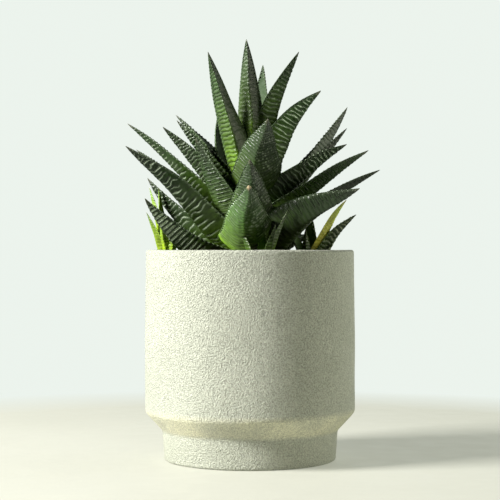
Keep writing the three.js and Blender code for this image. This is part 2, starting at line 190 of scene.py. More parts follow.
# Leaves whose keel is rounded off at first: how far along it starts to sharpen.
ROUND_BELLIED = {"main_leaf_08": 0.15, "main_leaf_23": 0.40, "main_leaf_28": 0.30, "main_leaf_33": 0.50}
LIME_HEART = 0.25  # how far the base colour reaches up the heart's leaves
HEART_LEAVES = 6
SHARP_BELLIED = 0.05  # where the keel of any other leaf begins to sharpen
DRY_TIPPED = "main_leaf_33"
MAIN_GRID = (250, 64)  # a main leaf's rings, and the points of each
PUP_GRID = (110, 36)
OUTER_SHARE = 0.68  # the share of a ring's points that lie on the leaf's outer face
RING_CROWDING = 0.3  # how much closer rings stand toward the tip
TWIST = 0.22  # radians
RIPPLE = 0.08
SWAY = 0.07  # a share of the leaf's width
ROUND_KEEL = 1.9  # the power that rounds a leaf's belly at its base
KEEL_SHARPENING = 0.7
DISH_AT_BASE = 0.28  # a share of the leaf's thickness
DISH_LOST = 0.2
SKIN_BUMPS = 0.20  # in mm
EDGE_BREADTH = 0.45  # how far teeth reach in from a margin or keel, in mm

# Stretches of a leaf, base 0 to tip 1, over which its marks or teeth set in or run out.
MARKS_SET_IN = (0.06, 0.22)
MARKS_RUN_OUT = (0.84, 0.97)
TEETH_SET_IN = (0.12, 0.30)
TEETH_RUN_OUT = (0.93, 0.99)
DRY_FROM = (0.955, 0.98)

COLLAR_DEPTH = 0.25  # in mm, like the bark's roughness
COLLAR_RATE = 2.2
BARK_ROUGHNESS = 0.2
CRUMBS = 900
CRUMB_GRID = (5, 7)  # a crumb's rings, and the points of each

# ------------------------------------------------------------------ numbers that vary smoothly


def smooth(low, high, x):
    """0 below low, 1 above high, and an S curve between."""
    t = np.clip((x - low) / (high - low), 0, 1)
    return t * t * (3 - 2 * t)


def scatter(a, b, seed):
    """A fixed, even spread of numbers from 0 to 1: the fraction left of a sine times a large number."""
    wild = np.sin(a * 12.9898 + b * 78.233 + seed * 37.719) * 43758.5453
    return wild - np.floor(wild)


def drift(x, y, seed):
    """Smooth noise from 0 to 1: the four corners' scatter values, blended by S curves."""
    i, j = np.floor(x), np.floor(y)
    s, t = smooth(0, 1, x - i), smooth(0, 1, y - j)
    low = scatter(i, j, seed) * (1 - s) + scatter(i + 1, j, seed) * s
    high = scatter(i, j + 1, seed) * (1 - s) + scatter(i + 1, j + 1, seed) * s
    return low * (1 - t) + high * t


# ------------------------------------------------------------------ surfaces into meshes


def grid_faces(rows, cols):
    """Quads of a grid that closes on itself sideways."""
    r, c = np.meshgrid(np.arange(rows - 1), np.arange(cols), indexing="ij")
    n = (c + 1) % cols
    return np.stack([r * cols + c, r * cols + n, (r + 1) * cols + n, (r + 1) * cols + c], -1).reshape(-1, 4)


def pole_faces(ring, pole, cols, flip):
    """Triangles from a ring that starts at vertex number ring to one pole vertex."""
    c = np.arange(cols)
    n = (c + 1) % cols
    sides = (ring + c, ring + n) if flip else (ring + n, ring + c)
    return np.stack([sides[0], sides[1], np.full(cols, pole)], -1)


def tube_mesh(name, points, fields):
    """A mesh from a grid of rings, points[row, column], closed by a pole at each end.

    Columns run anticlockwise seen from beyond the last ring, so that faces point out.  The poles are
    the first and last rings' centres.  fields are numbers at each point, kept as attributes.
    """
    rows, cols = points.shape[:2]
    ends = np.stack([points[0].mean(0), points[-1].mean(0)])
    verts = np.concatenate([points.reshape(-1, 3), ends])
    quads = grid_faces(rows, cols)
    first = pole_faces(0, rows * cols, cols, False)
    last = pole_faces((rows - 1) * cols, rows * cols + 1, cols, True)
    loops = np.concatenate([quads.ravel(), first.ravel(), last.ravel()])
    sizes = np.concatenate([np.full(len(quads), 4), np.full(2 * cols, 3)])
    mesh = bpy.data.meshes.new(name)
    mesh.vertices.add(len(verts))
    mesh.vertices.foreach_set("co", verts.ravel())
    mesh.loops.add(len(loops))
    mesh.loops.foreach_set("vertex_index", loops.astype(np.int32))
    mesh.polygons.add(len(sizes))
    mesh.polygons.foreach_set("loop_start", (np.cumsum(sizes) - sizes).astype(np.int32))
    mesh.polygons.foreach_set("use_smooth", np.ones(len(sizes), bool))
    mesh.update(calc_edges=True)
    for field, values in fields.items():
        ringed = np.concatenate([values.ravel(), [values[0].mean(), values[-1].mean()]])
        mesh.attributes.new(field, "FLOAT", "POINT").data.foreach_set("value", ringed.astype(np.float32))
    mesh.validate()
    return mesh


def show(name, mesh, material, node=None):
    """Put a mesh in the scene on the one body, and hide the CAD node it stands for, if one is given."""
    piece = bpy.data.objects.new(name, mesh)
    bpy.context.scene.collection.objects.link(piece)
    mesh.materials.append(material)
    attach(piece, "root")
    if node:
        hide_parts(node)


def swell(points, height):
    """Move each point of a ringed grid out along the surface's own normal by height."""
    along = np.gradient(points, axis=0)
    around = (np.roll(points, -1, 1) - np.roll(points, 1, 1)) / 2
    normal = np.cross(around, along)
    length = np.linalg.norm(normal, axis=-1, keepdims=True)
    return points + normal / np.maximum(length, 1e-12) * height[..., None]


# ------------------------------------------------------------------ stems and leaves


def stem_axis(stem, height):
    """The stem's centre at each height above the soil: upright, drifting along X as it climbs."""
    height = np.asarray(height, float)
    if "wall_gap" in stem:
        out, turn = INNER_RADIUS - stem["wall_gap"], math.radians(stem["turn"])
        x, y = out * math.cos(turn), out * math.sin(turn)
    else:
        x, y = stem["x"], stem["y"]
    drifted = x + stem["lean"] * np.maximum(height, 0) / stem["height"]
    return np.stack([drifted, np.full_like(height, y), SOIL_TOP + height], -1)


def stem_radius(stem, height):
    """A straight taper from radius at the soil to top."""
    share = np.clip(np.asarray(height, float) / stem["height"], 0, 1)
    return stem["radius"] + (stem["top"] - stem["radius"]) * share


def stem_surface(stem, rows=60, cols=40):
    """Rings of a tapering stem, with a shallow collar left by each fallen leaf's base.

    Radius = the taper's, less COLLAR_DEPTH times (1 + sin(COLLAR_RATE * height)) / 2, less smooth
    noise of BARK_ROUGHNESS.
    """
    height = np.linspace(-stem["foot"], stem["height"], rows)
    angle = np.linspace(0, 2 * math.pi, cols, endpoint=False)
    collars = COLLAR_DEPTH * (1 + np.sin(height * COLLAR_RATE)) * 0.5
    bark = BARK_ROUGHNESS * drift(height[:, None] * 0.8, angle[None] * 2, 3)
    radius = (stem_radius(stem, height) - collars)[:, None] - bark
    ring = np.stack([np.cos(angle), np.sin(angle), np.zeros(cols)], -1)
    return (stem_axis(stem, height)[:, None] + ring[None] * radius[..., None]) * MM


def leaf_breadth(u):
    """A taper to the tip, filled out in the middle, times a waist that swells from the base."""
    return (1 - u) ** 0.9 * (1 + 0.6 * u) * (0.75 + 0.25 * np.minimum(u / 0.15, 1))


def leaf_depth(u):
    """The same for thickness: blunter at the tip, and thinned to half where the base clasps."""
    return (1 - u) ** 0.8 * (1 + 0.5 * u) * (0.5 + 0.5 * np.minimum(u / 0.25, 1))


def leaf_spine(stem, leaf, u):
    """Points, tangents and the sideways direction of the quadratic curve from stem to tip."""
    turn = math.radians(leaf["turn"])
    out = np.array([math.cos(turn), math.sin(turn), 0])
    axis = stem_axis(stem, leaf["at"])
    base = axis + out * stem_radius(stem, leaf["at"]) * ROOTING
    tip = axis + out * leaf["reach"] + np.array([0, 0, leaf["rise"]])
    chord = (tip - base) / np.linalg.norm(tip - base)
    side = np.cross(out, [0, 0, 1])
    up = np.cross(side, chord)
    middle = (base + tip) / 2 + up * leaf["bow"] * 2
    roll = math.radians(leaf["roll"])
    side = side * math.cos(roll) + np.cross(chord, side) * math.sin(roll)
    t = u[:, None]
    points = base * (1 - t) ** 2 + middle * 2 * t * (1 - t) + tip * t ** 2
    tangents = (middle - base) * (1 - t) + (tip - middle) * t
    return points, tangents / np.linalg.norm(tangents, axis=1, keepdims=True), side


def leaf_marks(mark, length, half, u, s, side, seed):
    """Height in mm, paleness and painted shade, 0 to 1, of the ridges, pads, beads and teeth on one flank.

    Ridges are narrow crests of a phase that counts pitches along the leaf, closer toward the tip and
    bent by noise.  Each covers its own stretch of the flank, from keel (s = 0) to margin (s = 1), and
    is parted into beads by a wave across the flank.  Pads are the rounded swellings between crests,
    made paler by a painted sheen.  Teeth stand where a crest meets the margin or the keel.  The shade
    is painted: it darkens grooves, the hollows beside raised ridges, and flanks turned from the key lamp.
    """
    count = (0.85 * u + 0.25 * u * u) * length / mark["pitch"]
    bend = mark["wave"] * (drift(s * 3.5 + side * 9, count * 0.9, seed) - 0.5)
    phase = count + 0.55 * s + bend + side * 0.5
    k = np.floor(phase)
    share = phase - k
    crest = np.exp(-((share - 0.5) / mark["crest"]) ** 2)
    first = mark["start"] + 0.25 * scatter(k, side, seed + 1) - 0.12
    last = mark["end"] + 0.12 - 0.35 * scatter(k, side, seed + 2)
    stretch = smooth(first - 0.05, first + 0.08, s) * (1 - smooth(last - 0.08, last + 0.08, s))
    gaps = 1 - mark["broken"] * (1 - smooth(0.3, 0.5, drift(s * 5, k * 3.1 + side, seed + 5)))
    place = s * half.max() / mark["beads"] + scatter(k, side, seed + 3)
    bead = 0.5 + 0.5 * np.cos(2 * math.pi * (place + 0.7 * drift(place * 0.8, k * 1.7, seed + 6)))
    fade = smooth(*MARKS_SET_IN, u) * (1 - smooth(*MARKS_RUN_OUT, u))
    ridge = crest * stretch * gaps * fade * (1 - mark["beaded"] * (1 - bead ** 3))
    pad = (1 - np.abs(2 * share - 1) ** 3) * smooth(0.0, 0.25, s) * fade
    margin = np.exp(-((1 - s) * half / EDGE_BREADTH) ** 2)
    keel = np.exp(-(s * half / EDGE_BREADTH) ** 2)
    toothed = smooth(*TEETH_SET_IN, u) * (1 - smooth(*TEETH_RUN_OUT, u))
    teeth = crest * (margin + 0.5 * keel) * toothed
    height = mark["high"] * ridge + mark["pad"] * pad + mark["tooth"] * teeth
    # pale: the white ridges, teeth and margins, and pad_sheen, a painted sheen on the pads.
    pale = np.clip(mark["white"] * ridge + mark["pad_sheen"] * pad + 0.35 * teeth + 0.10 * margin, 0, 1)
    # Painted shade: grooves are darkened along their length, and the hollows beside raised ridges a little.
    hollow_shade = (1 - crest) * (1 - np.abs(2 * share - 1)) * 4 * stretch * fade
    shade = 0.75 * ridge if mark["high"] < 0 else 0.2 * np.clip(hollow_shade, 0, 1)
    # Painted shade: a flank turned away from the key lamp is darkened by painted_flank_shade.
    shade = 1 - (1 - shade) * (1 - mark["painted_flank_shade"] * smooth(0.0, 0.4, s))
    return height, pale, shade


def ring_angles(cols):
    """Angles round a ring, pi to 2 pi on the outer face and 0 to pi on the inner one."""
    v = np.arange(cols) / cols
    outside = v < OUTER_SHARE
    outer = math.pi + math.pi * v / OUTER_SHARE
    inner = math.pi * (v - OUTER_SHARE) / (1 - OUTER_SHARE)
    return np.where(outside, outer, inner), outside


def leaf_frame(stem, leaf, seed, u):
    """The spine with its sideways and inward directions, loosened, and the leaf's length.

    The twist about the spine is a half wave, half of TWIST radians at most, plus RIPPLE times the
    sine of nine u.  The sway to the side is smooth noise of SWAY widths under the same half wave.
    """
    centre, tangent, side = leaf_spine(stem, leaf, u)
    inward = np.cross(side, tangent)
    inward /= np.linalg.norm(inward, axis=1, keepdims=True)
    length = np.linalg.norm(np.diff(centre, axis=0), axis=1).sum()
    half_wave = np.sin(math.pi * u)
    twist = TWIST * (scatter(seed, 1, 5) - 0.5) * half_wave + RIPPLE * np.sin(9 * u + seed)
    across = side[None] * np.cos(twist)[:, None] + inward * np.sin(twist)[:, None]
    inward = inward * np.cos(twist)[:, None] - side[None] * np.sin(twist)[:, None]
    sway = (drift(u * 3, np.full_like(u, seed), seed) - 0.5) * SWAY * leaf["width"] * half_wave
    return centre + across * sway[:, None], across, inward, length


def leaf_section(leaf, seed, u, x, outside):
    """Half-breadth of each ring, and each point's level, share s and flank, where x is its cosine.

    The outer face lies at -depth * (1 - s**k), s being the share of the way from keel to margin.  k
    falls from ROUND_KEEL at the base by KEEL_SHARPENING toward the tip.  The inner face is dished.
    """
    half = leaf["width"] / 2 * leaf_breadth(u)
    half = half * (1 + 0.08 * (drift(u * 5, np.full_like(u, seed + 3), seed + 9) - 0.5))
    depth = (leaf["thick"] * leaf_depth(u))[:, None]
    keel = leaf["keel"] * smooth(0.0, 0.5, u)[:, None]
    s = np.where(x > keel, (x - keel) / (1 - keel), (keel - x) / (1 + keel))
    k = (ROUND_KEEL - KEEL_SHARPENING * smooth(leaf["keeled"], leaf["keeled"] + 0.55, u))[:, None]
    outer = -depth * (1 - s ** k)
    inner = -depth * (DISH_AT_BASE - DISH_LOST * smooth(0.3, 1.0, u))[:, None] * (1 - x ** 2)
    return half[:, None], np.where(outside[None], outer, inner), s, x > keel


def leaf_surface(stem, leaf, seed, rows, cols):
    """Rings of a leaf laid across its spine, marked on both flanks and finely bumped, and its fields.

    along runs from base 0 to tip 1, and tone_and_painted_light, dry, pale and inside steer its colours;
    tone_and_painted_light also carries the marks' painted shade.
    """
    u = np.linspace(0, 1, rows + 1)[:-1]
    u = u + 0.5 * u * (1 - u) * RING_CROWDING
    angle, outside = ring_angles(cols)
    x = np.cos(angle)[None]
    centre, across, inward, length = leaf_frame(stem, leaf, seed, u)
    half, level, s, first_flank = leaf_section(leaf, seed, u, x, outside)
    points = centre[:, None] + across[:, None] * (half * x)[..., None]
    points = points + inward[:, None] * level[..., None]

    full_u, full_s = np.broadcast_arrays(u[:, None], s)
    flanks = [
        leaf_marks(dict(zip(MARK_FIELDS, MARKS[name])), length, half, full_u, full_s, side, seed)
        for side, name in enumerate(leaf["marks"].split())
    ]
    height, pale, shade = (np.where(first_flank, first, second) for first, second in zip(*flanks))
    weight = np.where(outside[None], 1.0, 0.25 * smooth(0.6, 0.95, full_s))
    across_mm = full_s * leaf["width"] / 2
    bumps = drift(full_u * length / 1.4, across_mm / 1.5 + 9 * first_flank, seed + 7) - 0.5
    height = (height + SKIN_BUMPS * bumps) * weight * (1 - smooth(0.97, 1.0, full_u))
    fields = {
        "along": full_u * (1 - leaf["lime"]) + leaf["lime"] * full_u ** 3,
        "dry": leaf["dry"] * smooth(*DRY_FROM, full_u),
        "pale": pale * weight,
        "inside": np.broadcast_to(1.0 - outside[None], full_u.shape).astype(float),
        "tone_and_painted_light": leaf["tone_and_painted_light"] * (1 - shade * weight),
    }
    return swell(points, height) * MM, fields


# ------------------------------------------------------------------ pot and soil


def arc(centre, radius, start, stop, steps):
    """Points of a circle about its centre, from one angle to another, in degrees."""
    angle = np.radians(np.linspace(start, stop, steps))
    return np.stack([centre[0] + radius * np.cos(angle), centre[1] + radius * np.sin(angle)], -1)


def resample(profile, spacing, fine_from=0.0, fine_to=1e9, coarse=1.0):
    """Points at an even spacing along a profile, and coarse times as far apart outside the fine run."""
    steps = np.linalg.norm(np.diff(profile, axis=0), axis=1)
    run = np.concatenate([[0], np.cumsum(steps)])
    ends = np.clip([0, fine_from, fine_to, run[-1]], 0, run[-1])
    parts = [
        np.linspace(a, b, max(int((b - a) / gap), 1), endpoint=False)
        for a, b, gap in zip(ends[:-1], ends[1:], (spacing * coarse, spacing, spacing * coarse)) if b > a
    ]
    even = np.append(np.concatenate(parts), run[-1])
    return np.stack([np.interp(even, run, profile[:, 0]), np.interp(even, run, profile[:, 1])], -1)


def pot_profile():
    """The pot's section from the middle of its underside, out and up the wall, and down inside."""
    slope = math.atan2(SHOULDER_TOP - FOOT_HEIGHT, POT_RADIUS - FOOT_RADIUS)
    setback = CORNER_RADIUS * math.tan((math.pi / 2 - slope) / 2)
    corner = (POT_RADIUS - CORNER_RADIUS, SHOULDER_TOP + setback)
    rim = POT_RADIUS - RIM_INSET - RIM_EDGE
    foot = FOOT_RADIUS - FOOT_TAPER - FOOT_EDGE
    floor = FOOT_RADIUS - POT_WALL
    return np.concatenate([
        [(POLE_RADIUS, 0), (foot, 0)],
        arc((foot, FOOT_EDGE), FOOT_EDGE, -90, 0, 6),
        [(FOOT_RADIUS, FOOT_HEIGHT - 0.6), (FOOT_RADIUS + 0.4, FOOT_HEIGHT + 0.4)],
        arc(corner, CORNER_RADIUS, math.degrees(slope) - 90, 0, 10),
        [(POT_RADIUS, LEAN_FROM)],
        arc((rim, POT_HEIGHT - RIM_EDGE), RIM_EDGE, 0, 90, 7),
        arc((INNER_RADIUS + RIM_EDGE, POT_HEIGHT - RIM_EDGE), RIM_EDGE, 90, 180, 7),
        [(INNER_RADIUS, SHOULDER_TOP + POT_WALL), (floor, FOOT_HEIGHT)],
        [(floor, POT_FLOOR), (POLE_RADIUS, POT_FLOOR)],
    ])


def lathe(profile, cols):
    """Rings of a profile turned about Z: (r cos a, r sin a, height), with the angles a."""
    angle = np.linspace(0, 2 * math.pi, cols, endpoint=False)
    ring = np.stack([np.cos(angle), np.sin(angle)], -1)
    flat = profile[:, :1, None] * ring[None]
    level = np.broadcast_to(profile[:, 1][:, None, None], flat.shape[:2] + (1,))
    return np.concatenate([flat, level], -1), angle


def pot_surface(cols=400):
    """The turned profile, with a faint unevenness, as a cast and glazed wall has.

    Height = 0.18 of slow noise and 0.04 of quick noise, faded out near the table.
    """
    profile = resample(pot_profile(), spacing=0.65, fine_from=38, fine_to=160, coarse=5)
    points, angle = lathe(profile, cols)
    run = profile[:, 1][:, None]
    x = np.cos(angle)[None] * POT_RADIUS
    y = np.sin(angle)[None] * POT_RADIUS
    slow = drift(x / 14 + run / 30, y / 14 + run / 17, 21) - 0.5
    quick = drift(x / 1.5 + run / 1.8, y / 1.5 - run / 1.7, 22) - 0.5
    height = (0.18 * slow + 0.04 * quick) * smooth(0.5, 3, points[..., 2])
    return swell(points, height) * MM


def soil_surface(cols=220):
    """The turned soil section, with its top broken by two sizes of lumps."""
    outer = INNER_RADIUS - SOIL_GAP
    lower = FOOT_RADIUS - POT_WALL - SOIL_GAP
    section = np.array([
        (0.3, POT_FLOOR + SOIL_GAP), (lower, POT_FLOOR + SOIL_GAP), (lower, FOOT_HEIGHT),
        (outer, SHOULDER_TOP + POT_WALL), (outer, SOIL_TOP - 2.0), (outer - 1.5, SOIL_TOP - 1.5),
        (outer - 18, SOIL_TOP - 0.4), (0.3, SOIL_TOP - 0.4),
    ])
    profile = resample(section, 0.7)
    points, angle = lathe(profile, cols)
    top = smooth(SOIL_TOP - 4, SOIL_TOP - 2, points[..., 2])
    x, y = points[..., 0], points[..., 1]
    lumps = 1.1 * (drift(x / 3.1, y / 3.1, 31) - 0.4) + 0.7 * (drift(x / 1.2, y / 1.2, 32) - 0.5)
    points[..., 2] += top * lumps
    return points * MM


def crumb_points():
    """Rings of many small lumps: squashed, knobbly spheres strewn over the soil."""
    rows, cols = CRUMB_GRID
    rng = np.random.default_rng(11)
    radius = np.sqrt(rng.uniform(0, 1, CRUMBS)) * (INNER_RADIUS - 2.5)
    turn = rng.uniform(0, 2 * math.pi, CRUMBS)
    size = rng.uniform(0.35, 1.3, CRUMBS) ** 1.5
    level = SOIL_TOP - 0.4 + rng.uniform(-0.3, 0.5, CRUMBS)
    centre = np.stack([radius * np.cos(turn), radius * np.sin(turn), level], -1)
    polar = np.linspace(0, math.pi, rows + 2)[1:-1][::-1]
    around = np.linspace(0, 2 * math.pi, cols, endpoint=False)
    unit = np.stack([
        np.sin(polar)[:, None] * np.cos(around), np.sin(polar)[:, None] * np.sin(around),
        np.broadcast_to(np.cos(polar)[:, None], (rows, cols)),
    ], -1)
    knobs = rng.uniform(0.75, 1.25, (CRUMBS, rows, cols, 1))
    stretch = rng.uniform(0.7, 1.3, (CRUMBS, 1, 1, 3)) * np.array([1, 1, 0.75])
    return (centre[:, None, None] + unit[None] * knobs * stretch * size[:, None, None, None]) * MM


def crumb_mesh(points):
    """One mesh of all the lumps, each closed by a fan of triangles at both ends."""
    count, rows, cols = points.shape[:3]
    ends = np.stack([points[:, 0].mean(1), points[:, -1].mean(1)], 1)
    each = rows * cols + 2
    verts = np.concatenate([points.reshape(count, -1, 3), ends], 1).reshape(-1, 3)
    quads = grid_faces(rows, cols)
    fans = np.concatenate([
        pole_faces(0, rows * cols, cols, False),
        pole_faces((rows - 1) * cols, rows * cols + 1, cols, True),
    ])
    step = (np.arange(count) * each)[:, None, None]
    faces = (quads[None] + step).reshape(-1, 4).tolist() + (fans[None] + step).reshape(-1, 3).tolist()
    mesh = bpy.data.meshes.new("crumbs")
    mesh.from_pydata(verts.tolist(), [], faces)
    return mesh


# ------------------------------------------------------------------ materials


class Nodes:
    """A material's node tree, with one short call for each kind of node it uses."""

    def __init__(self, name):
        self.material = bpy.data.materials.new(name)
        self.material.use_nodes = True
        self.tree = self.material.node_tree
        self.shader = self.tree.nodes["Principled BSDF"]
        self.place = self.tree.nodes.new("ShaderNodeTexCoord").outputs["Object"]

    def link(self, source, socket):
        self.tree.links.new(source, socket)

    def field(self, name):
        """A mesh's numbers of that name, kept at its points."""
        node = self.tree.nodes.new("ShaderNodeAttribute")
        node.attribute_name = name
        return node.outputs["Fac"]

    def noise(self, scale, detail=2.0, rough=0.5):
        """Even noise about 0.5, scale lumps to the metre."""
        node = self.tree.nodes.new("ShaderNodeTexNoise")
        node.inputs["Scale"].default_value = scale
        node.inputs["Detail"].default_value = detail
        node.inputs["Roughness"].default_value = rough
        self.link(self.place, node.inputs["Vector"])
        return node.outputs["Fac"]

    def cloud(self, scale, detail, low, high):
        """Noise, of which nearly all lies from low to high."""
        return self.span(self.noise(scale, detail), 0.3, 0.7, low, high)

    def height(self):
        """Height above the base, in metres."""
        node = self.tree.nodes.new("ShaderNodeSeparateXYZ")
        self.link(self.place, node.inputs["Vector"])
        return node.outputs["Z"]

    def ramp(self, source, stops):
        """Colours blended between stops, each a place from 0 to 1 and its colour."""
        node = self.tree.nodes.new("ShaderNodeValToRGB")
        ramp = node.color_ramp
        while len(ramp.elements) < len(stops):
            ramp.elements.new(0.5)
        for element, (position, colour) in zip(ramp.elements, stops):
            element.position = position
            element.color = (*colour, 1)
        self.link(source, node.inputs["Fac"])
        return node.outputs["Color"]

    def span(self, source, low, high, to_low=0.0, to_high=1.0):
        """Values from low to high, stretched to run from to_low to to_high, and held beyond."""
        node = self.tree.nodes.new("ShaderNodeMapRange")
        ends = {"From Min": low, "From Max": high, "To Min": to_low, "To Max": to_high}
        for socket, value in ends.items():
            node.inputs[socket].default_value = value
        self.link(source, node.inputs["Value"])
        return node.outputs["Result"]

    def math(self, kind, a, b):
        node = self.tree.nodes.new("ShaderNodeMath")
        node.operation = kind
        for socket, value in zip(node.inputs, (a, b)):
            if isinstance(value, (int, float)):
                socket.default_value = value
            else:
                self.link(value, socket)
        return node.outputs["Value"]

    def mix(self, share, first, second, kind="MIX"):
        """Two colours blended, each a socket or a constant."""
        node = self.tree.nodes.new("ShaderNodeMix")
        node.data_type = "RGBA"
        node.blend_type = kind
        for socket, value in ((node.inputs[0], share), (node.inputs[6], first), (node.inputs[7], second)):
            if isinstance(value, (int, float)):
                socket.default_value = value
            elif isinstance(value, tuple):
                socket.default_value = (*value, 1)
            else:
                self.link(value, socket)
        return node.outputs[2]

    def bump(self, height, depth, strength=1.0, after=None):
        """A normal bent by height, depth metres deep, on top of the bump before it."""
        node = self.tree.nodes.new("ShaderNodeBump")
        node.inputs["Distance"].default_value = depth
        node.inputs["Strength"].default_value = strength
        self.link(height, node.inputs["Height"])
        if after is not None:
            self.link(after, node.inputs["Normal"])
        return node.outputs["Normal"]

    def finish(self, colour, roughness, normal, **constant):
        """Join the results to the shader, and set its other sockets to constants."""
        self.link(colour, self.shader.inputs["Base Color"])
        self.link(roughness, self.shader.inputs["Roughness"])
        self.link(normal, self.shader.inputs["Normal"])
        for socket, value in constant.items():
            self.shader.inputs[socket.replace("_", " ")].default_value = value
        return self.material


DRY_FLESH = (0.38, 0.29, 0.17)
POT_CLOUDS = [(0.3, (0.375, 0.390, 0.315)), (0.7, (0.415, 0.430, 0.352))]
# The shoulder band: a warmer glaze, and painted paler as light bounced up from the table.
SHOULDER_GLAZE_AND_BOUNCE = (0.72, 0.70, 0.50)
SHOULDER_STARTS = (0.0135, 0.0155)  # in metres above the base
SHOULDER_ENDS = (0.0225, 0.0255)
SOIL_CLOUDS = [
    (0.30, (0.012, 0.008, 0.005)), (0.55, (0.045, 0.028, 0.017)), (0.75, (0.12, 0.085, 0.055)),
]
BARK_CLOUDS = [(0.3, (0.09, 0.10, 0.03)), (0.7, (0.26, 0.24, 0.09))]


def leaf_material(name, along, pale, inside):
    """Leaf flesh: a colour ramp from base to tip, clouded, lightened or darkened by painted light and
    shade, with pale ridges, and fine pores.

    pale is the colour of the ridges' crests and of the painted sheen on pads, and inside that of the face
    turned to the stem.
    """
    n = Nodes(name)
    flesh = n.ramp(n.field("along"), along)
    clouds = n.cloud(160, 3, 0.72, 1.25)
    grain = n.cloud(1400, 2, 0.85, 1.15)
    # tone_and_painted_light is partly painted light and shade: each leaf lightened or darkened for how it
    # is lit.
    shade = n.math("MULTIPLY", n.math("MULTIPLY", clouds, grain), n.field("tone_and_painted_light"))
    flesh = n.mix(1.0, flesh, shade, "MULTIPLY")
    flesh = n.mix(n.math("MULTIPLY", n.field("inside"), 0.6), flesh, inside)
    flesh = n.mix(n.field("dry"), flesh, DRY_FLESH)
    colour = n.mix(n.math("MULTIPLY", n.field("pale"), 0.85), flesh, pale)
    rough = n.math("ADD", n.cloud(500, 2, 0.28, 0.42), n.math("MULTIPLY", n.field("inside"), 0.35))
    pores = n.bump(n.noise(2600, 2), 0.00012, 0.5)
    normal = n.bump(n.noise(420, 2), 0.0003, 0.35, pores)
    return n.finish(colour, rough, normal, Specular_IOR_Level=0.35)


def pot_material():
    """Matt, sandy glaze: raised grains, faint clouds, and a smoother, warmer band on the shoulder, painted
    paler too, as light bounced up from the table.
    """
    n = Nodes("sandy glaze")
    clouds = n.ramp(n.noise(40, 3), POT_CLOUDS)
    grain = n.noise(1500, 2, 0.6)
    specks = n.span(grain, 0.34, 0.66, 0.70, 1.28)
    above = n.span(n.height(), *SHOULDER_STARTS)
    below = n.span(n.height(), *SHOULDER_ENDS, 1.0, 0.0)
    shoulder = n.math("MULTIPLY", above, below)
    # The band is mottled warmer glaze, lightened as painted light bounced up from the table.
    band_and_painted_bounce = n.math("MULTIPLY", shoulder, n.span(n.noise(45, 2), 0.35, 0.65, 0.30, 0.75))
    colour = n.mix(1.0, n.mix(band_and_painted_bounce, clouds, SHOULDER_GLAZE_AND_BOUNCE), specks, "MULTIPLY")
    rough = n.cloud(300, 2, 0.5, 0.7)
    sand = n.bump(grain, 0.0010, 1.0)
    normal = n.bump(n.noise(420, 2), 0.0012, 0.12, sand)
    return n.finish(colour, rough, normal, Specular_IOR_Level=0.35)


def soil_material():
    """Dark, damp potting mix with lighter flecks and deep grain."""
    n = Nodes("potting mix")
    colour = n.ramp(n.noise(420, 4, 0.7), SOIL_CLOUDS)
    rough = n.cloud(900, 2, 0.85, 1.0)
    normal = n.bump(n.noise(1500, 4, 0.7), 0.0008, 0.9)
    return n.finish(colour, rough, normal, Specular_IOR_Level=0.2)


def stem_material():
    """Olive bark, mottled and finely rough."""
    n = Nodes("stem bark")
    colour = n.ramp(n.noise(350, 3), BARK_CLOUDS)
    rough = n.cloud(700, 2, 0.6, 0.8)
    normal = n.bump(n.noise(900, 3), 0.0005, 0.6)
    return n.finish(colour, rough, normal)


GREEN_ALONG = [
    (0.00, (0.32, 0.48, 0.010)), (0.12, (0.14, 0.27, 0.010)), (0.28, (0.046, 0.088, 0.008)),
    (0.65, (0.019, 0.046, 0.007)), (0.94, (0.014, 0.031, 0.008)), (1.00, (0.060, 0.045, 0.030)),
]
SPROUT_ALONG = [
    (0.00, (0.30, 0.44, 0.010)), (0.22, (0.14, 0.27, 0.012)), (0.55, (0.060, 0.130, 0.014)),
    (0.95, (0.035, 0.070, 0.014)), (1.00, (0.090, 0.070, 0.035)),
]
YOUNG_ALONG = [
    (0.00, (0.34, 0.47, 0.010)), (0.40, (0.28, 0.42, 0.010)), (0.80, (0.18, 0.31, 0.014)),
    (0.95, (0.12, 0.24, 0.030)), (1.00, (0.20, 0.16, 0.07)),
]
YELLOW_ALONG = [
    (0.00, (0.50, 0.44, 0.05)), (0.50, (0.46, 0.46, 0.05)), (0.85, (0.28, 0.36, 0.06)),
    (1.00, (0.30, 0.22, 0.10)),
]
LOOKS = {
    "leaf_green": leaf_material("green leaf", GREEN_ALONG, (0.53, 0.65, 0.43), (0.024, 0.056, 0.014)),
    "leaf_young": leaf_material("young leaf", YOUNG_ALONG, (0.62, 0.72, 0.35), (0.26, 0.44, 0.03)),
    "sprout": leaf_material("sprouting leaf", SPROUT_ALONG, (0.58, 0.66, 0.42), (0.11, 0.21, 0.02)),
    "leaf_yellowing": leaf_material("yellowing leaf", YELLOW_ALONG, (0.66, 0.66, 0.35), (0.40, 0.40, 0.05)),
    "pot_glaze": pot_material(),
    "soil": soil_material(),
    "stem": stem_material(),
}

# ------------------------------------------------------------------ assembly

slots = {part["node"]: part["material_slot"] for part in frame["record"]["subparts"]}

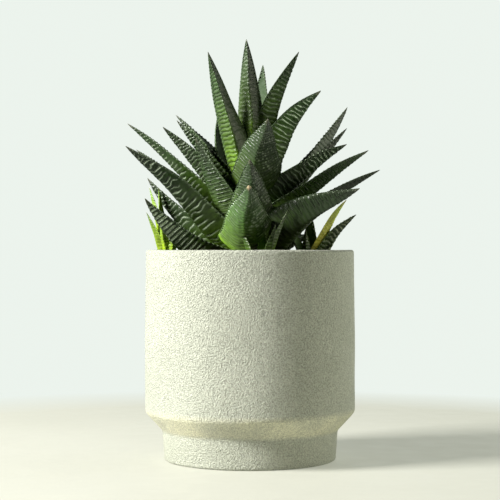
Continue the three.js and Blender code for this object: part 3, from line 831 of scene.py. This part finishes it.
for shoot, stem in STEMS.items():
    node = f"{shoot}_stem"
    show(f"{shoot}_stem_bark", tube_mesh(node, stem_surface(stem), {}), LOOKS["stem"], node)
    main = shoot == "main"
    for number, row in enumerate(LEAVES[shoot], 1):
        leaf = dict(zip(LEAF_FIELDS, row))
        node = f"{shoot}_leaf_{number:02d}"
        seed = number + 40 * list(STEMS).index(shoot)
        leaf["keel"] = KEELS.get(node, 0.3 * float(scatter(seed, 2, 8)) - 0.15)
        leaf["keeled"] = ROUND_BELLIED.get(node, SHARP_BELLIED)
        leaf["lime"] = LIME_HEART if main and number <= HEART_LEAVES else 0.0
        leaf["dry"] = 1.0 if node == DRY_TIPPED else 0.0
        points, fields = leaf_surface(stem, leaf, seed, *(MAIN_GRID if main else PUP_GRID))
        slot = slots[node]
        look = "sprout" if slot == "leaf_young" and shoot != "left_pup" else slot
        show(f"{node}_flesh", tube_mesh(node, points, fields), LOOKS[look], node)

show("glazed_pot", tube_mesh("glazed_pot", pot_surface(), {}), LOOKS["pot_glaze"], "pot")
show("soil_bed", tube_mesh("soil_bed", soil_surface(), {}), LOOKS["soil"], "potting_soil")
show("soil_crumbs", crumb_mesh(crumb_points()), LOOKS["soil"])

# ------------------------------------------------------------------ stage, light and camera

CAMERA_BACK = 0.70
CAMERA_LENS = 105
SENSOR_WIDTH = 36
FLOOR_HALF = 0.36
FLOOR_PLAIN = 0.24
FLOOR_GONE = 0.34
FLOOR_CLOUDS = [(0.35, (0.305, 0.303, 0.260)), (0.65, (0.325, 0.323, 0.280))]
FLOOR_GLOW = (0.96, 1.0, 0.84, 1)
FLOOR_GLOW_STRENGTH = 0.28
BACKDROP = (0.840, 0.900, 0.845)
SKY_BASE = 0.05
SKY_LEAN = (0.72, 0.62, 0.10)


def floor_material():
    """A cream table top that pales into the backdrop's colour away from the pot."""
    n = Nodes("pale table")
    distance = n.tree.nodes.new("ShaderNodeVectorMath")
    distance.operation = "LENGTH"
    n.link(n.place, distance.inputs[0])
    colour = n.ramp(n.noise(9, 4), FLOOR_CLOUDS)
    away = n.span(distance.outputs["Value"], FLOOR_PLAIN, FLOOR_GONE)
    rough = n.cloud(60, 2, 0.5, 0.65)
    normal = n.bump(n.noise(90, 2), 0.0004, 0.2)
    material = n.finish(
        colour, rough, normal, Specular_IOR_Level=0.3,
        Emission_Color=FLOOR_GLOW, Emission_Strength=FLOOR_GLOW_STRENGTH,
    )
    glow = n.tree.nodes.new("ShaderNodeEmission")
    glow.inputs["Color"].default_value = (*BACKDROP, 1)
    blend = n.tree.nodes.new("ShaderNodeMixShader")
    n.link(away, blend.inputs[0])
    n.link(n.shader.outputs[0], blend.inputs[1])
    n.link(glow.outputs[0], blend.inputs[2])
    n.link(blend.outputs[0], n.tree.nodes["Material Output"].inputs["Surface"])
    return material


def add_floor():
    """A square of table top, FLOOR_HALF from its middle to each side."""
    corners = [(-1, -1), (1, -1), (1, 1), (-1, 1)]
    mesh = bpy.data.meshes.new("table")
    mesh.from_pydata([(x * FLOOR_HALF, y * FLOOR_HALF, 0) for x, y in corners], [], [(0, 1, 2, 3)])
    floor = bpy.data.objects.new("table", mesh)
    bpy.context.scene.collection.objects.link(floor)
    mesh.materials.append(floor_material())


def add_lamp(name, place, target, size, power, colour):
    """A square soft lamp that faces its target."""
    data = bpy.data.lights.new(name, "AREA")
    data.shape = "SQUARE"
    data.size = size
    data.energy = power
    data.color = colour
    lamp = bpy.data.objects.new(name, data)
    bpy.context.scene.collection.objects.link(lamp)
    lamp.location = place
    away = np.array(target) - np.array(place)
    flat = math.hypot(away[0], away[1])
    lamp.rotation_euler = (math.atan2(flat, -away[2]), 0, math.atan2(away[1], away[0]) - math.pi / 2)


def add_world():
    """A pale backdrop to the eye.

    To everything else the sky's strength is SKY_BASE plus SKY_LEAN times the direction it comes
    from: brighter on the right than the left, brighter behind than in front, and a little above.
    """
    world = bpy.data.worlds.new("studio")
    bpy.context.scene.world = world
    world.use_nodes = True
    tree = world.node_tree
    back = tree.nodes["Background"]
    back.inputs["Color"].default_value = (*BACKDROP, 1)
    lean = tree.nodes.new("ShaderNodeVectorMath")
    lean.operation = "DOT_PRODUCT"
    tree.links.new(tree.nodes.new("ShaderNodeTexCoord").outputs["Generated"], lean.inputs[0])
    lean.inputs[1].default_value = SKY_LEAN
    sky = tree.nodes.new("ShaderNodeMapRange")
    sky.inputs["From Min"].default_value = -SKY_BASE
    sky.inputs["From Max"].default_value = 1 - SKY_BASE
    tree.links.new(lean.outputs["Value"], sky.inputs["Value"])
    seen = tree.nodes.new("ShaderNodeLightPath").outputs["Is Camera Ray"]
    strength = tree.nodes.new("ShaderNodeMix")
    tree.links.new(seen, strength.inputs[0])
    tree.links.new(sky.outputs["Result"], strength.inputs[2])
    strength.inputs[3].default_value = 1.0
    tree.links.new(strength.outputs[0], back.inputs["Strength"])


def add_camera():
    """A camera level with the pot's rim, CAMERA_BACK metres in front of the pot's axis."""
    data = bpy.data.cameras.new("camera")
    data.lens = CAMERA_LENS
    data.sensor_width = SENSOR_WIDTH
    camera = bpy.data.objects.new("camera", data)
    bpy.context.scene.collection.objects.link(camera)
    camera.location = (0, -CAMERA_BACK, POT_HEIGHT * MM)
    camera.rotation_euler = (math.pi / 2, 0, 0)
    bpy.context.scene.camera = camera


add_floor()
add_lamp(
    "key", place=(-0.82, -0.34, 0.60), target=(0, 0, 0.10),
    size=0.34, power=32, colour=(1.0, 0.99, 0.97),
)
add_lamp(
    "fill", place=(0.80, -0.05, 0.16), target=(0, 0, 0.06),
    size=0.60, power=2.6, colour=(1.0, 0.97, 0.76),
)
add_world()
add_camera()
bpy.context.scene.view_settings.view_transform = "Standard"
